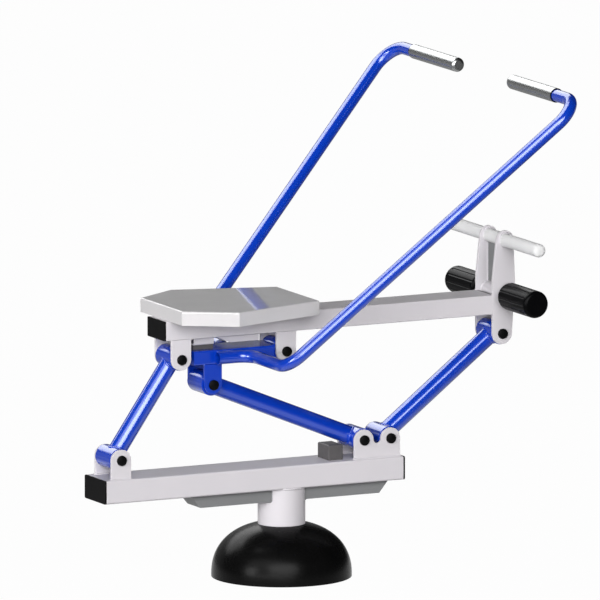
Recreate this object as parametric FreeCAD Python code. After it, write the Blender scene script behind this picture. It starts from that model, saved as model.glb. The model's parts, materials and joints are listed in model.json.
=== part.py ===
import FreeCAD, Part
import math
import os

# Outdoor rowing machine: a seat beam carried on two swinging links, driven by a pair of
# pulled handles through a push rod. Millimetres, +X towards the footrest, +Z up, the origin on
# the ground under the post's axis. The rower's right side is at -Y.

Vector = FreeCAD.Vector
UP = Vector(0, 0, 1)
FORWARD = Vector(1, 0, 0)
LEFT = Vector(0, 1, 0)
SIDES = (-1, 1)
HEXAGON_SIDES = 6

# Base: flange, ribs, post and cover
flange_diameter = 310.0
flange_thickness = 12.0
anchor_circle = 250.0
anchor_hole_diameter = 14.0
anchor_count = 4
rib_thickness = 8.0
rib_height = 70.0
rib_reach = 52.0
rib_corner = 12.0
post_diameter = 121.0
post_wall = 4.0
cover_diameter = 357.0
cover_height = 140.0
cover_fullness = 2.3
cover_profile_points = 13
cover_wall = 4.0
cover_rim_height = 3.0
cover_post_gap = 0.4

# Lower beam and its reinforcements
lower_beam_clearance = 230.5
lower_beam_width = 120.0
lower_beam_height = 60.0
lower_beam_wall = 4.0
lower_beam_corner = 5.0
lower_beam_rear_overhang = 50.0
lower_beam_front_overhang = 36.0
reinforcement_width = 76.0
reinforcement_height = 33.0
reinforcement_wall = 4.0
reinforcement_slant = 27.0
rear_reinforcement_end = -274.0
front_reinforcement_end = 285.0
weld_gap = 0.2

# Upper beam and its reinforcement
upper_beam_width = 100.0
upper_beam_height = 50.0
upper_beam_wall = 3.0
upper_beam_corner = 3.0
upper_beam_rear_overhang = 47.0
upper_reinforcement_width = 76.0
upper_reinforcement_height = 18.0
upper_reinforcement_slant = 44.0
upper_reinforcement_ear_gap = 44.0

# End plugs of both beams
plug_flange = 4.0
plug_depth = 18.0
plug_wall = 3.0
plug_clearance = 0.2

# Pivot places: the links stand on the lower beam and carry the upper one
lower_pivot_rise = 48.0
upper_pivot_drop = 50.5
link_rise = 245.0
rear_pivot_x = -475.0
rear_link_run = 169.0
rod_pivot_x = 209.0
front_pivot_x = 284.0
front_link_run = 317.0
lever_pivot_x = -10.5
clevis_inset = 54.0
clevis_drop = 70.5

# Pivot pieces
hub_diameter = 58.0
hub_length = 82.0
hub_side_clearance = 1.0
ear_radius = 27.5
ear_thickness = 8.0
lobe_radius = 27.0
sleeve_diameter = 20.0
bolt_diameter = 12.0
bolt_clearance = 0.1
bolt_head_across_flats = 19.0
bolt_head_height = 6.0
bolt_tip = 1.0
cap_diameter = 26.0
cap_height = 9.0
cap_wall = 1.6
cap_dome = 2.5
bearing_diameter = 47.0
bearing_width = 14.0
bearing_inset = 1.0
bearing_shield_depth = 0.8
bearing_ring_thickness = 4.0
bearing_fit = 0.02
running_clearance = 0.05
front_joint_play = 1.1
clevis_joint_play = 3.2

# Link tubes
link_tube_diameter = 46.0
link_tube_wall = 3.0
vent_diameter = 10.0

# Lever arm, handles and grips
arm_width = 100.0
arm_height = 36.0
arm_wall = 3.0
arm_corner = 4.0
arm_tail_clearance = 8.0
arm_neck_width = 76.0
arm_ear_clearance = 8.0
arm_end_plate = 6.0
clevis_ear_radius = 24.5
handle_diameter = 32.0
handle_wall = 2.5
handle_weld_length = 93.0
handle_bend_setback = 108.7
handle_low_half_width = 276.2
handle_top_half_width = 537.0
handle_top_reach = 587.3
handle_top_rise = 663.5
handle_bend_radius = 60.0
handle_root_radius = 42.0
grip_diameter = 37.0
grip_length = 249.0
grip_inner_half_gap = 150.0
grip_end_wall = 3.0
grip_end_round = 9.0

# Seat
seat_rear = -339.0
seat_widest = -216.0
seat_front = 48.0
seat_rear_half_width = 120.0
seat_widest_half_width = 199.0
seat_front_half_width = 122.0
seat_height = 36.0
seat_sheet = 3.0
seat_edge_radius = 4.0
seat_support_places = (-260.0, -40.0)
seat_support_width = 60.0
seat_support_foot = 20.0
seat_support_sheet = 4.0
seat_screw_diameter = 8.0
seat_screw_across_flats = 13.0
seat_screw_head_height = 5.0
seat_screw_spread = 60.0

# Footrest: side plates, toe bar, axle and rollers
roller_axis_ahead = 7.6
roller_axis_drop = 1.0
roller_diameter = 70.0
roller_length = 157.0
roller_plate_gap = 21.6
roller_end_wall = 6.0
roller_end_round = 10.0
flute_count = 12
flute_radius = 4.0
flute_depth = 1.6
flute_outer_margin = 14.0
roller_core_diameter = 44.0
axle_diameter = 20.0
axle_housing_diameter = 45.0
spacer_diameter = 34.0
spacer_clearance = 0.6
retainer_diameter = 30.0
retainer_thickness = 5.0
retainer_clearance = 0.6
toe_bar_rise = 141.0
toe_bar_half_length = 250.0
toe_bar_diameter = 34.0
toe_bar_wall = 3.0
toe_bar_cap_round = 11.0
toe_bar_cap_length = 14.0
toe_bar_fit = 0.1
toe_boss_radius = 24.0
front_plate_front_lead = 36.0
front_plate_knee_rise = 38.0
web_thickness = 6.0

# Stops at both ends of the stroke
rod_stop_centre = 138.0
rod_stop_length = 42.0
rod_stop_width = 64.0
rod_stop_height = 28.0
rod_stop_rubber = 5.0
rod_stop_round = 4.0
stop_rest_clearance = 0.4
rod_travel_degrees = 5.65
lever_stop_setback = 224.0
lever_stop_length = 56.0
lever_stop_width = 64.0
lever_stop_height = 20.0
lever_stop_wall = 3.0
lever_stop_corner = 4.0

# Worked out from the sizes above
lower_beam_top = lower_beam_clearance + lower_beam_height
lower_pivot_height = lower_beam_top + lower_pivot_rise
upper_pivot_height = lower_pivot_height + link_rise
upper_beam_bottom = upper_pivot_height + upper_pivot_drop
upper_beam_top = upper_beam_bottom + upper_beam_height
ear_inner = hub_length / 2 + hub_side_clearance
ear_outer = ear_inner + ear_thickness

rear_lower_pivot = Vector(rear_pivot_x, 0, lower_pivot_height)
rear_upper_pivot = Vector(rear_pivot_x + rear_link_run, 0, upper_pivot_height)
rod_pivot = Vector(rod_pivot_x, 0, lower_pivot_height)
front_lower_pivot = Vector(front_pivot_x, 0, lower_pivot_height)
front_upper_pivot = Vector(front_pivot_x + front_link_run, 0, upper_pivot_height)
lever_pivot = Vector(lever_pivot_x, 0, upper_pivot_height)

lower_beam_rear = rear_lower_pivot.x - lower_beam_rear_overhang
lower_beam_front = front_lower_pivot.x + lower_beam_front_overhang
upper_beam_rear = rear_upper_pivot.x - upper_beam_rear_overhang
front_plate_rear = front_upper_pivot.x - ear_radius
roller_axis = Vector(front_upper_pivot.x + roller_axis_ahead, 0, upper_beam_top - roller_axis_drop)
toe_bar_axis = roller_axis + UP * toe_bar_rise
arm_top = upper_pivot_height + arm_height / 2
arm_rear = rear_upper_pivot.x + ear_radius + arm_tail_clearance
arm_front = lever_pivot.x - ear_radius - arm_ear_clearance
clevis_pivot = Vector(arm_rear + clevis_inset, 0, upper_pivot_height - clevis_drop)


def save(name, shapes):
    """Write one node: a single solid, or a group of separate solids."""
    solids = shapes if isinstance(shapes, list) else [shapes]
    shape = solids[0] if len(solids) == 1 else Part.makeCompound(solids)
    shape.exportStep(os.path.join("parts", name + ".step"))


def block(low, high):
    """Box between two corners."""
    size = high - low
    return Part.makeBox(size.x, size.y, size.z, low)


def cross_rod(centre, diameter, from_y, to_y):
    """Cylinder along Y through a point of the XZ plane."""
    start = Vector(centre.x, from_y, centre.z)
    return Part.makeCylinder(diameter / 2, to_y - from_y, start, LEFT)


def cross_tube(centre, outer, inner, from_y, to_y):
    return cross_rod(centre, outer, from_y, to_y).cut(cross_rod(centre, inner, from_y, to_y))


def closed_outline(pieces):
    """Face from line and arc segments that follow one another."""
    return Part.Face(Part.Wire([piece.toShape() for piece in pieces]))


def plate(face, from_y, to_y):
    """A face drawn in the XZ plane at Y = 0, thickened along Y."""
    moved = face.copy()
    moved.translate(Vector(0, from_y, 0))
    return moved.extrude(Vector(0, to_y - from_y, 0))


def plate_pair(face, inner, outer):
    """The same plate on the right and on the left, between two distances from the centre plane."""
    return [plate(face, -outer, -inner), plate(face, inner, outer)]


def rounded_rectangle(half_width, half_height, radius):
    """Face in the YZ plane about the X axis, with rounded corners."""
    corner_y = half_width - radius
    corner_z = half_height - radius
    slant = radius * math.sqrt(0.5)

    def at(y, z):
        return Vector(0, y, z)

    pieces = []
    for sign_y, sign_z, across in ((1, 1, False), (-1, 1, True), (-1, -1, False), (1, -1, True)):
        side = at(sign_y * half_width, sign_z * corner_z)
        middle = at(sign_y * (corner_y + slant), sign_z * (corner_z + slant))
        end = at(sign_y * corner_y, sign_z * half_height)
        first, last = (end, side) if across else (side, end)
        if pieces:
            pieces.append(Part.LineSegment(pieces[-1].EndPoint, first))
        pieces.append(Part.Arc(first, middle, last))
    pieces.append(Part.LineSegment(pieces[-1].EndPoint, pieces[0].StartPoint))
    return closed_outline(pieces)


def box_tube(rear, front, centre_height, width, height, wall, corner):
    """Rectangular tube along X, open at both ends."""
    outer = rounded_rectangle(width / 2, height / 2, corner)
    inner = rounded_rectangle(width / 2 - wall, height / 2 - wall, max(corner - wall, wall / 3))
    tube = outer.extrude(FORWARD * (front - rear)).cut(inner.extrude(FORWARD * (front - rear)))
    tube.translate(Vector(rear, 0, centre_height))
    return tube


def end_plug(face_x, direction, centre_height, width, height, wall, corner):
    """Moulded plug: a flange over the tube's end and a hollow skirt inside it."""
    flange = rounded_rectangle(width / 2, height / 2, corner).extrude(FORWARD * plug_flange)
    fit = wall + plug_clearance
    skirt_round = max(corner - fit, wall / 3)
    skirt = rounded_rectangle(width / 2 - fit, height / 2 - fit, skirt_round)
    hollow = rounded_rectangle(width / 2 - fit - plug_wall, height / 2 - fit - plug_wall, skirt_round)
    insert = skirt.extrude(FORWARD * plug_depth).cut(hollow.extrude(FORWARD * plug_depth))
    insert.translate(FORWARD * plug_flange)
    plug = flange.fuse(insert).removeSplitter()
    if direction < 0:
        plug.rotate(Vector(0, 0, 0), UP, 180)
    plug.translate(Vector(face_x, 0, centre_height))
    return plug


def ear_face(pivot, radius, root_height):
    """Ear in the XZ plane: straight sides from its root, round about the pivot."""
    away = 1 if pivot.z > root_height else -1
    rear_root = Vector(pivot.x - radius, 0, root_height)
    front_root = Vector(pivot.x + radius, 0, root_height)
    rear = pivot - FORWARD * radius
    front = pivot + FORWARD * radius
    return closed_outline([
        Part.LineSegment(rear_root, rear),
        Part.Arc(rear, pivot + UP * (away * radius), front),
        Part.LineSegment(front, front_root),
        Part.LineSegment(front_root, rear_root),
    ])


def bolt_hole(pivot):
    return cross_rod(pivot, bolt_diameter + 2 * bolt_clearance, -2 * ear_outer, 2 * ear_outer)


def ear_pair(pivot, radius, root_height):
    ears = plate_pair(ear_face(pivot, radius, root_height), ear_inner, ear_outer)
    return [ear.cut(bolt_hole(pivot)) for ear in ears]


def hexagon_corners(across_flats):
    """Corners of a hexagon about the origin, as pairs, with the first one again at the end."""
    reach = across_flats / 2 / math.cos(math.pi / HEXAGON_SIDES)
    angles = [2 * math.pi * k / HEXAGON_SIDES for k in range(HEXAGON_SIDES + 1)]
    return [(reach * math.cos(angle), reach * math.sin(angle)) for angle in angles]


def hexagon(centre, across_flats, from_y, to_y):
    """Hexagonal prism along Y."""
    points = [centre + Vector(x, 0, z) for x, z in hexagon_corners(across_flats)]
    return plate(Part.Face(Part.makePolygon(points)), from_y, to_y)


def pivot_sleeve(pivot):
    """Axle sleeve that the bolt clamps between the two ears."""
    bore = bolt_diameter + 2 * bolt_clearance
    return cross_tube(pivot, sleeve_diameter, bore, -ear_inner, ear_inner)


def pivot_bolt(pivot):
    tip = ear_outer + bolt_head_height + bolt_tip
    head = hexagon(pivot, bolt_head_across_flats, -ear_outer - bolt_head_height, -ear_outer)
    return head.fuse(cross_rod(pivot, bolt_diameter, -ear_outer, tip)).removeSplitter()


def pivot_nut(pivot):
    nut = hexagon(pivot, bolt_head_across_flats, ear_outer, ear_outer + bolt_head_height)
    bore = cross_rod(pivot, bolt_diameter + 2 * running_clearance, ear_outer, 2 * ear_outer)
    return nut.cut(bore)


def pivot_caps(pivot):
    """Round push-on covers over the bolt's head and over its nut."""
    radius = cap_diameter / 2
    inner = radius - cap_wall
    rim = cap_height - cap_dome
    sag = (radius ** 2 - cap_dome ** 2) / (2 * cap_dome)
    dome_radius = sag + cap_dome
    shoulder = Vector(radius, rim, 0)
    crown = Vector(0, cap_height, 0)
    half_angle = math.asin(radius / dome_radius) / 2
    between = Vector(dome_radius * math.sin(half_angle), rim - sag + dome_radius * math.cos(half_angle), 0)
    ceiling = cap_height - cap_wall
    half_section = closed_outline([
        Part.LineSegment(Vector(inner, 0, 0), Vector(radius, 0, 0)),
        Part.LineSegment(Vector(radius, 0, 0), shoulder),
        Part.Arc(shoulder, between, crown),
        Part.LineSegment(crown, Vector(0, ceiling, 0)),
        Part.LineSegment(Vector(0, ceiling, 0), Vector(inner, ceiling, 0)),
        Part.LineSegment(Vector(inner, ceiling, 0), Vector(inner, 0, 0)),
    ])
    caps = []
    for side in SIDES:
        cap = half_section.revolve(Vector(0, 0, 0), LEFT, 360)
        if side < 0:
            cap.rotate(Vector(0, 0, 0), UP, 180)
        cap.translate(pivot + LEFT * (side * ear_outer))
        caps.append(cap)
    return caps


def hub(pivot):
    return cross_rod(pivot, hub_diameter, -hub_length / 2, hub_length / 2)


def hub_bore(pivot):
    """Seat of a bearing at each end, and a narrower bore between them as its shoulder."""
    bore = cross_rod(pivot, bearing_diameter - bearing_ring_thickness, -hub_length, hub_length)
    for side in SIDES:
        start = side * hub_length / 2
        end = side * (hub_length / 2 - bearing_inset - bearing_width)
        bore = bore.fuse(cross_rod(pivot, bearing_diameter, min(start, end), max(start, end)))
    return bore


def bearing_pair(pivot, bore_clearance):
    """Two sealed ball bearings in one hub, each with its shield sunk between the rings."""
    outer = bearing_diameter / 2 - bearing_fit
    inner = sleeve_diameter / 2 + bore_clearance
    near = outer - bearing_ring_thickness
    far = inner + bearing_ring_thickness
    width = bearing_width
    corners = [(inner, 0), (far, 0), (far, bearing_shield_depth), (near, bearing_shield_depth),
               (near, 0), (outer, 0), (outer, width), (inner, width), (inner, 0)]
    section = Part.Face(Part.makePolygon([Vector(r, y, 0) for r, y in corners]))
    bearings = []
    for side in SIDES:
        bearing = section.revolve(Vector(0, 0, 0), LEFT, 360)
        if side > 0:
            bearing.rotate(Vector(0, 0, 0), UP, 180)
        bearing.translate(pivot + LEFT * (side * (hub_length / 2 - bearing_inset)))
        bearings.append(bearing)
    return bearings


def swing_link(lower, upper):
    """Welded link: a tube coped between two hubs, vented into them, then bored for bearings."""
    length = (upper - lower).Length
    along = (upper - lower).normalize()
    hubs = hub(lower).fuse(hub(upper))
    tube = Part.makeCylinder(link_tube_diameter / 2, length, lower, along)
    hollow = Part.makeCylinder(link_tube_diameter / 2 - link_tube_wall, length, lower, along)
    vent = Part.makeCylinder(vent_diameter / 2, length, lower, along)
    link = tube.cut(hollow).cut(hubs).fuse(hubs).removeSplitter()
    return link.cut(vent).cut(hub_bore(lower)).cut(hub_bore(upper))


def bent_path(points, radii):
    """Straight runs through the points, joined by tangent arcs."""
    pieces = []
    start = points[0]
    for before, corner, after, radius in zip(points, points[1:], points[2:], radii):
        back = (before - corner).normalize()
        ahead = (after - corner).normalize()
        half_turn = (math.pi - back.getAngle(ahead)) / 2
        tangent = radius * math.tan(half_turn)
        inward = (back + ahead).normalize()
        middle = corner + inward * (radius / math.cos(half_turn) - radius)
        entry = corner + back * tangent
        leave = corner + ahead * tangent
        pieces.append(Part.LineSegment(start, entry).toShape())
        pieces.append(Part.Arc(entry, middle, leave).toShape())
        start = leave
    pieces.append(Part.LineSegment(start, points[-1]).toShape())
    return Part.Wire(pieces)


def bent_tube(points, radii, diameter, wall):
    """Round tube of one bore, swept along a bent path."""
    path = bent_path(points, radii)
    along = (points[1] - points[0]).normalize()
    solids = []
    for radius in (diameter / 2, diameter / 2 - wall):
        ring = Part.Wire([Part.Circle(points[0], along, radius).toShape()])
        solids.append(path.makePipeShell([ring], True, False))
    return solids[0].cut(solids[1])


def turned(section_pieces, place, towards):
    """Turned piece: a half section in (radius, distance along Y), placed along +Y or -Y."""
    piece = closed_outline(section_pieces).revolve(Vector(0, 0, 0), LEFT, 360)
    if towards < 0:
        piece.rotate(Vector(0, 0, 0), UP, 180)
    piece.translate(place)
    return piece


def make_base():
    flange = Part.makeCylinder(flange_diameter / 2, flange_thickness)
    ribs = []
    post_radius = post_diameter / 2
    for k in range(anchor_count):
        angle = 360.0 * k / anchor_count
        hole = Part.makeCylinder(anchor_hole_diameter / 2, flange_thickness, FORWARD * (anchor_circle / 2))
        hole.rotate(Vector(0, 0, 0), UP, angle + 180.0 / anchor_count)
        flange = flange.cut(hole)
        root = post_radius + weld_gap
        corners = [(root, 0), (root + rib_reach, 0), (root + rib_reach, rib_corner),
                   (root + rib_corner, rib_height), (root, rib_height), (root, 0)]
        section = Part.Face(Part.makePolygon([Vector(x, 0, flange_thickness + z) for x, z in corners]))
        rib = plate(section, -rib_thickness / 2, rib_thickness / 2)
        rib = rib.cut(Part.makeCylinder(root, flange_thickness + 2 * rib_height))
        rib.rotate(Vector(0, 0, 0), UP, angle)
        ribs.append(rib)
    save("base_flange", flange)
    save("base_ribs", ribs)

    post_height = lower_beam_clearance - flange_thickness
    foot = UP * flange_thickness
    post = Part.makeCylinder(post_radius, post_height, foot)
    save("post", post.cut(Part.makeCylinder(post_radius - post_wall, post_height, foot)))
    make_cover()


def make_cover():
    """Dome over the flange: a quarter superellipse turned about the post, thinned to a shell."""

    def dome(radius, height):
        points = []
        for k in range(cover_profile_points):
            angle = math.pi / 2 * k / (cover_profile_points - 1)
            reach = radius * max(math.cos(angle), 0.0) ** (2 / cover_fullness)
            points.append(Vector(reach, height * math.sin(angle) ** (2 / cover_fullness), 0))
        curve = Part.BSplineCurve()
        curve.interpolate(Points=points, InitialTangent=LEFT, FinalTangent=-FORWARD)
        side = Part.makeLine(Vector(0, 0, 0), points[0])
        axis = Part.makeLine(points[-1], Vector(0, 0, 0))
        solid = Part.Face(Part.Wire([side, curve.toShape(), axis])).revolve(Vector(0, 0, 0), LEFT, 360)
        solid.rotate(Vector(0, 0, 0), FORWARD, 90)
        solid.translate(UP * cover_rim_height)
        return solid.fuse(Part.makeCylinder(radius, cover_rim_height)).removeSplitter()

    crown = cover_height - cover_rim_height
    shell = dome(cover_diameter / 2, crown).cut(dome(cover_diameter / 2 - cover_wall, crown - cover_wall))
    opening = Part.makeCylinder(post_diameter / 2 + cover_post_gap, 2 * cover_height)
    save("base_dome_cover", shell.cut(opening))


def make_lower_beam():
    centre = lower_beam_clearance + lower_beam_height / 2
    rear = lower_beam_rear + plug_flange
    front = lower_beam_front - plug_flange
    section = (lower_beam_width, lower_beam_height, lower_beam_wall, lower_beam_corner)
    save("lower_beam", box_tube(rear, front, centre, *section))
    save("lower_beam_plugs", [end_plug(lower_beam_rear, 1, centre, *section),
                              end_plug(lower_beam_front, -1, centre, *section)])
    make_lower_reinforcement("rear_reinforcement", rear_reinforcement_end)
    make_lower_reinforcement("front_reinforcement", front_reinforcement_end)


def channel(root_x, tip_x, top, width, height, slant):
    """Folded channel along X, open above and at its root, its tip slanted and closed."""
    outward = math.copysign(1, tip_x - root_x)

    def wedge(half_width, inset):
        bottom = top - height + inset
        tip = tip_x - outward * inset
        heel = tip - outward * slant
        outline = Part.makePolygon([Vector(root_x, 0, top), Vector(tip, 0, top), Vector(heel, 0, bottom),
                                    Vector(root_x, 0, bottom), Vector(root_x, 0, top)])
        return plate(Part.Face(outline), -half_width, half_width)

    return wedge(width / 2, 0).cut(wedge(width / 2 - reinforcement_wall, reinforcement_wall))


def make_lower_reinforcement(name, end_x):
    """Channel under the lower beam, coped round the post."""
    section = (lower_beam_clearance, reinforcement_width, reinforcement_height, reinforcement_slant)
    cope = Part.makeCylinder(post_diameter / 2 + weld_gap, 2 * lower_beam_clearance)
    save(name, channel(0, end_x, *section).cut(cope))


def make_lower_brackets():
    save("rear_lower_ears", ear_pair(rear_lower_pivot, ear_radius, lower_beam_top))

    notch_rear = rod_pivot + FORWARD * lobe_radius
    notch_front = front_lower_pivot - FORWARD * lobe_radius
    notch_bottom = (notch_rear + notch_front) * 0.5 - UP * ((notch_front.x - notch_rear.x) / 2)
    rear_shoulder = rod_pivot - FORWARD * lobe_radius
    front_shoulder = front_lower_pivot + FORWARD * lobe_radius
    rear_root = Vector(rear_shoulder.x, 0, lower_beam_top)
    front_root = Vector(front_shoulder.x, 0, lower_beam_top)
    face = closed_outline([
        Part.LineSegment(rear_root, rear_shoulder),
        Part.Arc(rear_shoulder, rod_pivot + UP * lobe_radius, notch_rear),
        Part.Arc(notch_rear, notch_bottom, notch_front),
        Part.Arc(notch_front, front_lower_pivot + UP * lobe_radius, front_shoulder),
        Part.LineSegment(front_shoulder, front_root),
        Part.LineSegment(front_root, rear_root),
    ])
    holes = bolt_hole(rod_pivot).fuse(bolt_hole(front_lower_pivot))
    save("front_lower_plates", [p.cut(holes) for p in plate_pair(face, ear_inner, ear_outer)])


def make_rod_stop():
    """Steel block under a rubber cover, which the push rod's underside meets at the end of the pull."""
    slope = math.atan2(clevis_pivot.z - rod_pivot.z, rod_pivot.x - clevis_pivot.x)
    pulled = slope - math.radians(rod_travel_degrees)
    contact_run = rod_pivot.x - rod_stop_centre - rod_stop_length / 2
    underside = contact_run * math.tan(pulled) - link_tube_diameter / 2 / math.cos(pulled)
    pad_top = rod_pivot.z + underside - stop_rest_clearance
    half_length = rod_stop_length / 2
    half_width = rod_stop_width / 2
    cover = block(Vector(rod_stop_centre - half_length, -half_width, lower_beam_top),
                  Vector(rod_stop_centre + half_length, half_width, pad_top))
    outer_edges = [edge for edge in cover.Edges if edge.BoundBox.ZMax > pad_top - rod_stop_round]
    cover = cover.makeFillet(rod_stop_round, outer_edges)
    core_length = half_length - rod_stop_rubber
    core_width = half_width - rod_stop_rubber
    core = block(Vector(rod_stop_centre - core_length, -core_width, lower_beam_top),
                 Vector(rod_stop_centre + core_length, core_width, lower_beam_top + rod_stop_height))
    save("rod_stop_block", core)
    save("rod_stop_pad", cover.cut(core))


def make_lever_stop():
    """Short tube and pad under the upper beam, which the lever's arm lies against at rest."""
    centre = lever_pivot.x - lever_stop_setback
    bottom = upper_beam_bottom - lever_stop_height
    half_length = lever_stop_length / 2
    section = (lever_stop_width, lever_stop_height, lever_stop_wall, lever_stop_corner)
    middle = (bottom + upper_beam_bottom) / 2
    save("lever_stop_block", box_tube(centre - half_length, centre + half_length, middle, *section))
    half_width = lever_stop_width / 2 - lever_stop_corner
    pad = block(Vector(centre - half_length, -half_width, arm_top + stop_rest_clearance),
                Vector(centre + half_length, half_width, bottom))
    save("lever_stop_pad", pad)


def make_links():
    save("rear_link", swing_link(rear_lower_pivot, rear_upper_pivot))
    save("rear_link_bearings", bearing_pair(rear_lower_pivot, running_clearance)
         + bearing_pair(rear_upper_pivot, running_clearance))
    save("front_link", swing_link(front_lower_pivot, front_upper_pivot))
    save("front_link_bearings", bearing_pair(front_lower_pivot, running_clearance)
         + bearing_pair(front_upper_pivot, front_joint_play))
    save("push_rod", swing_link(rod_pivot, clevis_pivot))
    save("push_rod_bearings", bearing_pair(rod_pivot, running_clearance)
         + bearing_pair(clevis_pivot, clevis_joint_play))


def make_fasteners(prefix, pivots):
    save(prefix + "_pivot_sleeves", [pivot_sleeve(pivot) for pivot in pivots])
    save(prefix + "_pivot_bolts", [pivot_bolt(pivot) for pivot in pivots])
    save(prefix + "_pivot_nuts", [pivot_nut(pivot) for pivot in pivots])
    save(prefix + "_bolt_caps", [cap for pivot in pivots for cap in pivot_caps(pivot)])


def make_upper_beam():
    centre = upper_beam_bottom + upper_beam_height / 2
    section = (upper_beam_width, upper_beam_height, upper_beam_wall, upper_beam_corner)
    save("upper_beam", box_tube(upper_beam_rear + plug_flange, front_plate_rear, centre, *section))
    save("upper_beam_rear_plug", end_plug(upper_beam_rear, 1, centre, *section))
    save("rear_upper_ears", ear_pair(rear_upper_pivot, ear_radius, upper_beam_bottom))
    save("lever_ears", ear_pair(lever_pivot, ear_radius, upper_beam_bottom))

    root = lever_pivot.x - ear_radius - upper_reinforcement_ear_gap
    tip = lever_pivot.x - lever_stop_setback + lever_stop_length / 2 + weld_gap
    section = (upper_beam_bottom, upper_reinforcement_width, upper_reinforcement_height,
               upper_reinforcement_slant)
    save("upper_reinforcement", channel(root, tip, *section))


def seat_outline(inset, height):
    """Six-sided outline of the seat, drawn in by a distance, as a face at a height."""
    corners = [(seat_rear, seat_rear_half_width), (seat_widest, seat_widest_half_width),
               (seat_front, seat_front_half_width)]
    right = [Vector(x, -half, height) for x, half in corners]
    left = [Vector(x, half, height) for x, half in reversed(corners)]
    face = Part.Face(Part.makePolygon(right + left + [right[0]]))
    return face.makeOffset2D(-inset, 2) if inset else face


def make_seat():
    """Folded sheet tray, open below, on two hat sections screwed to the beam."""
    pan = seat_outline(0, upper_beam_top).extrude(UP * seat_height)
    seat_top = upper_beam_top + seat_height
    outer_edges = [edge for edge in pan.Edges if edge.BoundBox.ZMax > seat_top - seat_sheet]
    pan = pan.makeFillet(seat_edge_radius, outer_edges)
    hollow = seat_outline(seat_sheet, upper_beam_top).extrude(UP * (seat_height - seat_sheet))
    save("seat_pan", pan.cut(hollow))

    supports = []
    screws = []
    ceiling = seat_top - seat_sheet
    half_width = upper_beam_width / 2 - upper_beam_corner
    for place in seat_support_places:
        half = seat_support_width / 2
        foot = half + seat_support_foot
        sheet = seat_support_sheet
        outline = [(-foot, 0), (-half + sheet, 0), (-half + sheet, seat_height - seat_sheet - sheet),
                   (half - sheet, seat_height - seat_sheet - sheet), (half - sheet, 0), (foot, 0),
                   (foot, sheet), (half, sheet), (half, seat_height - seat_sheet),
                   (-half, seat_height - seat_sheet), (-half, sheet), (-foot, sheet), (-foot, 0)]
        points = [Vector(place + x, 0, upper_beam_top + z) for x, z in outline]
        support = plate(Part.Face(Part.makePolygon(points)), -half_width, half_width)
        for end in SIDES:
            for side in SIDES:
                spot = Vector(place + end * (half + seat_support_foot / 2), side * seat_screw_spread / 2,
                              upper_beam_top)
                bore = Part.makeCylinder(seat_screw_diameter / 2 + bolt_clearance, sheet, spot)
                support = support.cut(bore)
                screws.append(seat_screw(spot))
        supports.append(support)
    save("seat_supports", supports)
    save("seat_screws", screws)


def seat_screw(spot):
    """Hexagon screw whose shank stands on the beam's top wall, through the support's foot."""
    points = [Vector(x, y, 0) for x, y in hexagon_corners(seat_screw_across_flats)]
    head = Part.Face(Part.makePolygon(points)).extrude(UP * seat_screw_head_height)
    head.translate(spot + UP * seat_support_sheet)
    shank = Part.makeCylinder(seat_screw_diameter / 2, seat_support_sheet, spot)
    return head.fuse(shank).removeSplitter()


def make_front_plates():
    """Tall side plates: ears for the front link below, the footrest's sides above."""
    pivot = front_upper_pivot
    knee_height = upper_beam_top + front_plate_knee_rise
    front_knee = Vector(pivot.x + front_plate_front_lead, 0, knee_height)
    rear_knee = Vector(front_plate_rear, 0, knee_height)
    boss_rear = tangent_point(toe_bar_axis, toe_boss_radius, rear_knee, -1)
    boss_front = tangent_point(toe_bar_axis, toe_boss_radius, front_knee, 1)
    ear_front = tangent_point(pivot, ear_radius, front_knee, 1)
    face = closed_outline([
        Part.LineSegment(rear_knee, pivot - FORWARD * ear_radius),
        Part.Arc(pivot - FORWARD * ear_radius, pivot - UP * ear_radius, ear_front),
        Part.LineSegment(ear_front, front_knee),
        Part.LineSegment(front_knee, boss_front),
        Part.Arc(boss_front, toe_bar_axis + UP * toe_boss_radius, boss_rear),
        Part.LineSegment(boss_rear, rear_knee),
    ])
    holes = bolt_hole(pivot)
    holes = holes.fuse(cross_rod(toe_bar_axis, toe_bar_diameter + 2 * toe_bar_fit, -ear_outer, ear_outer))
    holes = holes.fuse(cross_rod(roller_axis, axle_diameter + 2 * bolt_clearance, -ear_outer, ear_outer))
    right, left = [p.cut(holes) for p in plate_pair(face, ear_inner, ear_outer)]
    save("front_plate_right", right)
    save("front_plate_left", left)

    housing_radius = axle_housing_diameter / 2
    bore = axle_diameter + 2 * bolt_clearance
    save("roller_axle_housing", cross_tube(roller_axis, axle_housing_diameter, bore, -ear_inner, ear_inner))
    beam_end = block(Vector(front_plate_rear, -ear_inner, upper_beam_bottom),
                     Vector(front_plate_rear + web_thickness, ear_inner, upper_beam_top))
    web_low = roller_axis.z + housing_radius + weld_gap
    web_high = toe_bar_axis.z - toe_bar_diameter / 2 - weld_gap
    toe_web = block(Vector(roller_axis.x - web_thickness / 2, -ear_inner, web_low),
                    Vector(roller_axis.x + web_thickness / 2, ear_inner, web_high))
    low_web = block(Vector(roller_axis.x - web_thickness / 2, -ear_inner, upper_beam_bottom),
                    Vector(roller_axis.x + web_thickness / 2, ear_inner,
                           roller_axis.z - housing_radius - weld_gap))
    save("footrest_webs", [beam_end, toe_web, low_web])


def tangent_point(centre, radius, outside, front):
    """Where the straight edge from a point touches a circle, on its front or rear side."""
    away = outside - centre
    distance = away.Length
    towards = math.atan2(away.z, away.x)
    spread = math.acos(radius / distance)
    angles = (towards - spread, towards + spread)
    touch = [centre + Vector(radius * math.cos(a), 0, radius * math.sin(a)) for a in angles]
    return max(touch, key=lambda point: front * point.x)


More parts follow.
